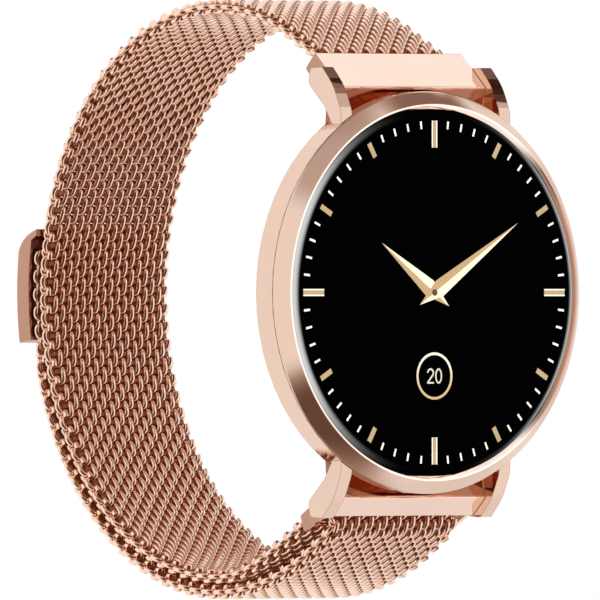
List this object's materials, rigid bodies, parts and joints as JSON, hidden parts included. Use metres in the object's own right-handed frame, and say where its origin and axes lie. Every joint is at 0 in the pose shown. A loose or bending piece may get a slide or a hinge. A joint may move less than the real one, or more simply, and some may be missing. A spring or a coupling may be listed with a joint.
{
  "type": "smartwatch",
  "caption": "Round touch-display smartwatch with a closed woven metal mesh strap, pivoting lug links, a folded tail layer, a magnetic clasp and a side push button.",
  "frame": {"origin": "centre of the sensor window's flat rear face, the face that lies on the wrist", "axes": "+Z to 12 o'clock, +X to 3 o'clock, +Y out of the case back into the strap loop; the dial faces -Y"},
  "size_m": [0.0432, 0.0573, 0.0626],
  "materials": {
    "polished_case": "polished rose-gold plating on steel",
    "polished_link": "bright polished rose-gold plating on steel",
    "brushed_rose": "fine brushed rose-gold plating",
    "woven_mesh": "drawn steel wire plated rose gold, woven and pressed flat",
    "dial_glass": "clear cover glass over a black display, polished edge",
    "dark_lens": "black tinted sensor window",
    "display": "unlit black display panel",
    "seal_rubber": "matte black seal",
    "black_plastic": "moulded black carrier",
    "cell_pouch": "satin foil pouch",
    "amber_film": "polyimide ribbon",
    "circuit_board": "green solder mask",
    "led_lens": "green emitter lens",
    "silicon": "dark photodiode die",
    "plain_steel": "plain stainless steel",
    "contact_gold": "gold plated contact"
  },
  "bodies": {
    "case": {"mid_case": "polished_case", "bezel": "polished_case", "cover_glass": "dial_glass", "back_cover": "brushed_rose", "sensor_window": "dark_lens", "front_gasket": "seal_rubber", "display_panel": "display", "inner_frame": "black_plastic", "battery": "cell_pouch", "display_flex": "amber_film", "main_board": "circuit_board", "tact_switch": "black_plastic", "sensor_board": "circuit_board", "green_led_left": "led_lens", "green_led_right": "led_lens", "photodiode": "silicon", "motor_housing": "plain_steel", "motor_cap": "plain_steel", "back_gasket": "seal_rubber", "button_seal": "seal_rubber", "top_bar_tube": "plain_steel", "top_bar_spring": "plain_steel", "bottom_bar_tube": "plain_steel", "bottom_bar_spring": "plain_steel", "charging_pin_left": "contact_gold", "charging_pin_right": "contact_gold", "back_screw_1": "plain_steel", "back_screw_2": "plain_steel", "back_screw_3": "plain_steel", "back_screw_4": "plain_steel"},
    "side_button": {"side_button": "polished_case"},
    "motor_weight": {"motor_rotor": "plain_steel"},
    "top_pin_left": {"top_pin_left": "plain_steel"},
    "top_pin_right": {"top_pin_right": "plain_steel"},
    "bottom_pin_left": {"bottom_pin_left": "plain_steel"},
    "bottom_pin_right": {"bottom_pin_right": "plain_steel"},
    "top_link": {"top_end_link": "polished_link", "strap_upper_1": "woven_mesh"},
    "strap_2": {"strap_upper_2": "woven_mesh"},
    "strap_3": {"strap_upper_3": "woven_mesh"},
    "strap_4": {"strap_upper_4": "woven_mesh"},
    "lower_loop": {"bottom_bracket": "polished_link", "strap_lower": "woven_mesh", "strap_fold": "woven_mesh"},
    "tail_1": {"strap_tail_1": "woven_mesh"},
    "tail_2": {"strap_tail_2": "woven_mesh"},
    "tail_3": {"strap_tail_3": "woven_mesh"},
    "clasp": {"strap_tail_end": "woven_mesh", "clasp_cover": "brushed_rose", "clasp_magnet_1": "plain_steel", "clasp_magnet_2": "plain_steel", "clasp_plate": "brushed_rose"}
  },
  "joints": [
    {"name": "button_press", "type": "slide", "parent": "case", "child": "side_button", "axis": [-1, 0, 0], "range_m": [0, 0.0004]},
    {"name": "motor_spin", "type": "hinge", "parent": "case", "child": "motor_weight", "pos_m": [0, -0.0042, -0.0115], "axis": [0, 1, 0], "continuous": true},
    {"name": "top_pin_left_press", "type": "slide", "parent": "case", "child": "top_pin_left", "axis": [1, 0, 0], "range_m": [0, 0.0012]},
    {"name": "top_pin_right_press", "type": "slide", "parent": "case", "child": "top_pin_right", "axis": [-1, 0, 0], "range_m": [0, 0.0012]},
    {"name": "bottom_pin_left_press", "type": "slide", "parent": "case", "child": "bottom_pin_left", "axis": [1, 0, 0], "range_m": [0, 0.0012]},
    {"name": "bottom_pin_right_press", "type": "slide", "parent": "case", "child": "bottom_pin_right", "axis": [-1, 0, 0], "range_m": [0, 0.0012]},
    {"name": "bottom_link_pivot", "type": "hinge", "parent": "case", "child": "lower_loop", "pos_m": [0, -0.00359, -0.02135], "axis": [1, 0, 0], "range_deg": [-3.5, 3.5]},
    {"name": "top_link_pivot", "type": "hinge", "parent": "case", "child": "top_link", "pos_m": [0, -0.00359, 0.02135], "axis": [1, 0, 0], "range_deg": [-7.9, 7.9]},
    {"name": "strap_flex_1", "type": "hinge", "parent": "top_link", "child": "strap_2", "pos_m": [0, 0.01986, 0.02979], "axis": [1, 0, 0], "range_deg": [-6.7, 6.7]},
    {"name": "strap_flex_2", "type": "hinge", "parent": "strap_2", "child": "strap_3", "pos_m": [0, 0.03432, 0.02362], "axis": [1, 0, 0], "range_deg": [-5.4, 5.4]},
    {"name": "strap_flex_3", "type": "hinge", "parent": "strap_3", "child": "strap_4", "pos_m": [0, 0.04349, 0.0103], "axis": [1, 0, 0], "range_deg": [-7.6, 7.6]},
    {"name": "tail_flex_1", "type": "hinge", "parent": "lower_loop", "child": "tail_1", "pos_m": [0, 0.01586, -0.03135], "axis": [-1, 0, 0], "range_deg": [0, 20]},
    {"name": "tail_flex_2", "type": "hinge", "parent": "tail_1", "child": "tail_2", "pos_m": [0, 0.02906, -0.02865], "axis": [-1, 0, 0], "range_deg": [0, 20]},
    {"name": "tail_flex_3", "type": "hinge", "parent": "tail_2", "child": "tail_3", "pos_m": [0, 0.0398, -0.02013], "axis": [-1, 0, 0], "range_deg": [0, 20]},
    {"name": "clasp_lift", "type": "hinge", "parent": "tail_3", "child": "clasp", "pos_m": [0, 0.04564, -0.00858], "axis": [-1, 0, 0], "range_deg": [0, 20]}
  ],
  "couplings": [
    {"joint": "top_link_pivot", "follows": "bottom_link_pivot", "ratio": 2.2275},
    {"joint": "strap_flex_1", "follows": "bottom_link_pivot", "ratio": -1.8646},
    {"joint": "strap_flex_2", "follows": "bottom_link_pivot", "ratio": -1.4967},
    {"joint": "strap_flex_3", "follows": "bottom_link_pivot", "ratio": 2.1338},
    {"joint": "tail_flex_1", "follows": "clasp_lift", "ratio": 1},
    {"joint": "tail_flex_2", "follows": "clasp_lift", "ratio": 1},
    {"joint": "tail_flex_3", "follows": "clasp_lift", "ratio": 1}
  ]
}
